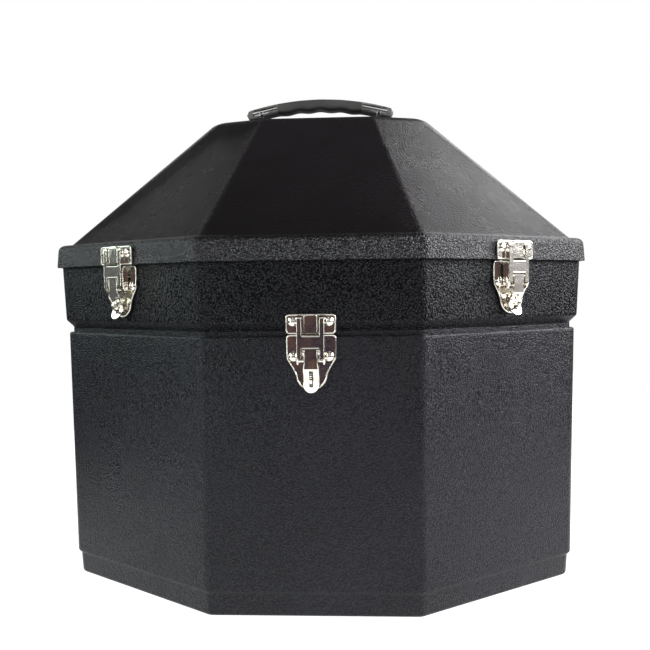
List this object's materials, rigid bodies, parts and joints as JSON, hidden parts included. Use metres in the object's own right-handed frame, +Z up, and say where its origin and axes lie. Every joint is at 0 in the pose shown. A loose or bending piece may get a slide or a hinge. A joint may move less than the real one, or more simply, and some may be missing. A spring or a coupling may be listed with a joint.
{
  "type": "hat box",
  "caption": "Octagonal moulded hat box with a deep tub, a middle tray and a sloping lid, joined by draw latches and back hinges, with a folding carry handle.",
  "frame": {"origin": "middle of the foot's flat underside", "axes": "+Z up, +X to the right seen from the front latch, -Y towards the front latch"},
  "size_m": [0.4896, 0.4104, 0.4696],
  "materials": {
    "tub_abs": "fine moulded grain",
    "tray_abs": "pebble grain, semi-gloss",
    "lid_abs": "pebble grain, semi-gloss",
    "nickel": "bright nickel plate",
    "spring_steel": "bright strip",
    "grip_plastic": "satin"
  },
  "bodies": {
    "tub_body": {"base_tub": "tub_abs", "front_latch_plate": "nickel", "front_lever_pin": "nickel", "front_padlock_staple": "nickel", "tub_latch_rivets": "nickel", "lower_hinge_tub_leaves": "nickel", "lower_hinge_pins": "nickel", "tub_hinge_rivets": "nickel"},
    "tray_body": {"middle_tray": "tray_abs", "front_strike_plate": "nickel", "left_latch_plate": "nickel", "left_lever_pin": "nickel", "left_padlock_staple": "nickel", "right_latch_plate": "nickel", "right_lever_pin": "nickel", "right_padlock_staple": "nickel", "tray_latch_rivets": "nickel", "lower_hinge_tray_leaves": "nickel", "upper_hinge_tray_leaves": "nickel", "upper_hinge_pins": "nickel", "tray_hinge_rivets": "nickel"},
    "lid_body": {"lid": "lid_abs", "left_strike_plate": "nickel", "right_strike_plate": "nickel", "lid_latch_rivets": "nickel", "upper_hinge_lid_leaves": "nickel", "lid_hinge_rivets": "nickel", "handle_pivot_pins": "nickel", "handle_brackets": "nickel", "handle_bracket_rivets": "nickel", "handle_backing_plates": "nickel"},
    "handle_body": {"handle_grip": "grip_plastic", "handle_core_strap": "spring_steel"},
    "front_lever_body": {"front_lever": "nickel"},
    "front_link_body": {"front_link": "nickel", "front_link_pin": "nickel"},
    "left_lever_body": {"left_lever": "nickel"},
    "left_link_body": {"left_link": "nickel", "left_link_pin": "nickel"},
    "right_lever_body": {"right_lever": "nickel"},
    "right_link_body": {"right_link": "nickel", "right_link_pin": "nickel"}
  },
  "joints": [
    {"name": "tray_hinge", "type": "hinge", "parent": "tub_body", "child": "tray_body", "pos_m": [0, 0.1975, 0.236], "axis": [-1, 0, 0], "range_deg": [0, 95]},
    {"name": "lid_hinge", "type": "hinge", "parent": "tray_body", "child": "lid_body", "pos_m": [0, 0.2042, 0.291], "axis": [-1, 0, 0], "range_deg": [0, 95]},
    {"name": "handle_fold", "type": "hinge", "parent": "lid_body", "child": "handle_body", "pos_m": [0, 0, 0.4535], "axis": [1, 0, 0], "range_deg": [-80, 80]},
    {"name": "front_lever_swing", "type": "hinge", "parent": "tub_body", "child": "front_lever_body", "pos_m": [0, -0.1974, 0.2205], "axis": [-1, 0, 0], "range_deg": [0, 110]},
    {"name": "front_link_swing", "type": "hinge", "parent": "front_lever_body", "child": "front_link_body", "pos_m": [0, -0.1978, 0.2135], "axis": [-1, 0, 0], "range_deg": [-110, 0]},
    {"name": "left_lever_swing", "type": "hinge", "parent": "tray_body", "child": "left_lever_body", "pos_m": [-0.16993, -0.1529, 0.2789], "axis": [-0.8487, 0.5289, 0], "range_deg": [0, 110]},
    {"name": "left_link_swing", "type": "hinge", "parent": "left_lever_body", "child": "left_link_body", "pos_m": [-0.17014, -0.15324, 0.2719], "axis": [-0.8487, 0.5289, 0], "range_deg": [-110, 0]},
    {"name": "right_lever_swing", "type": "hinge", "parent": "tray_body", "child": "right_lever_body", "pos_m": [0.16993, -0.1529, 0.2789], "axis": [-0.8487, -0.5289, 0], "range_deg": [0, 110]},
    {"name": "right_link_swing", "type": "hinge", "parent": "right_lever_body", "child": "right_link_body", "pos_m": [0.17014, -0.15324, 0.2719], "axis": [-0.8487, -0.5289, 0], "range_deg": [-110, 0]}
  ],
  "couplings": [
    {"joint": "front_link_swing", "follows": "front_lever_swing", "ratio": -1},
    {"joint": "left_link_swing", "follows": "left_lever_swing", "ratio": -1},
    {"joint": "right_link_swing", "follows": "right_lever_swing", "ratio": -1}
  ]
}
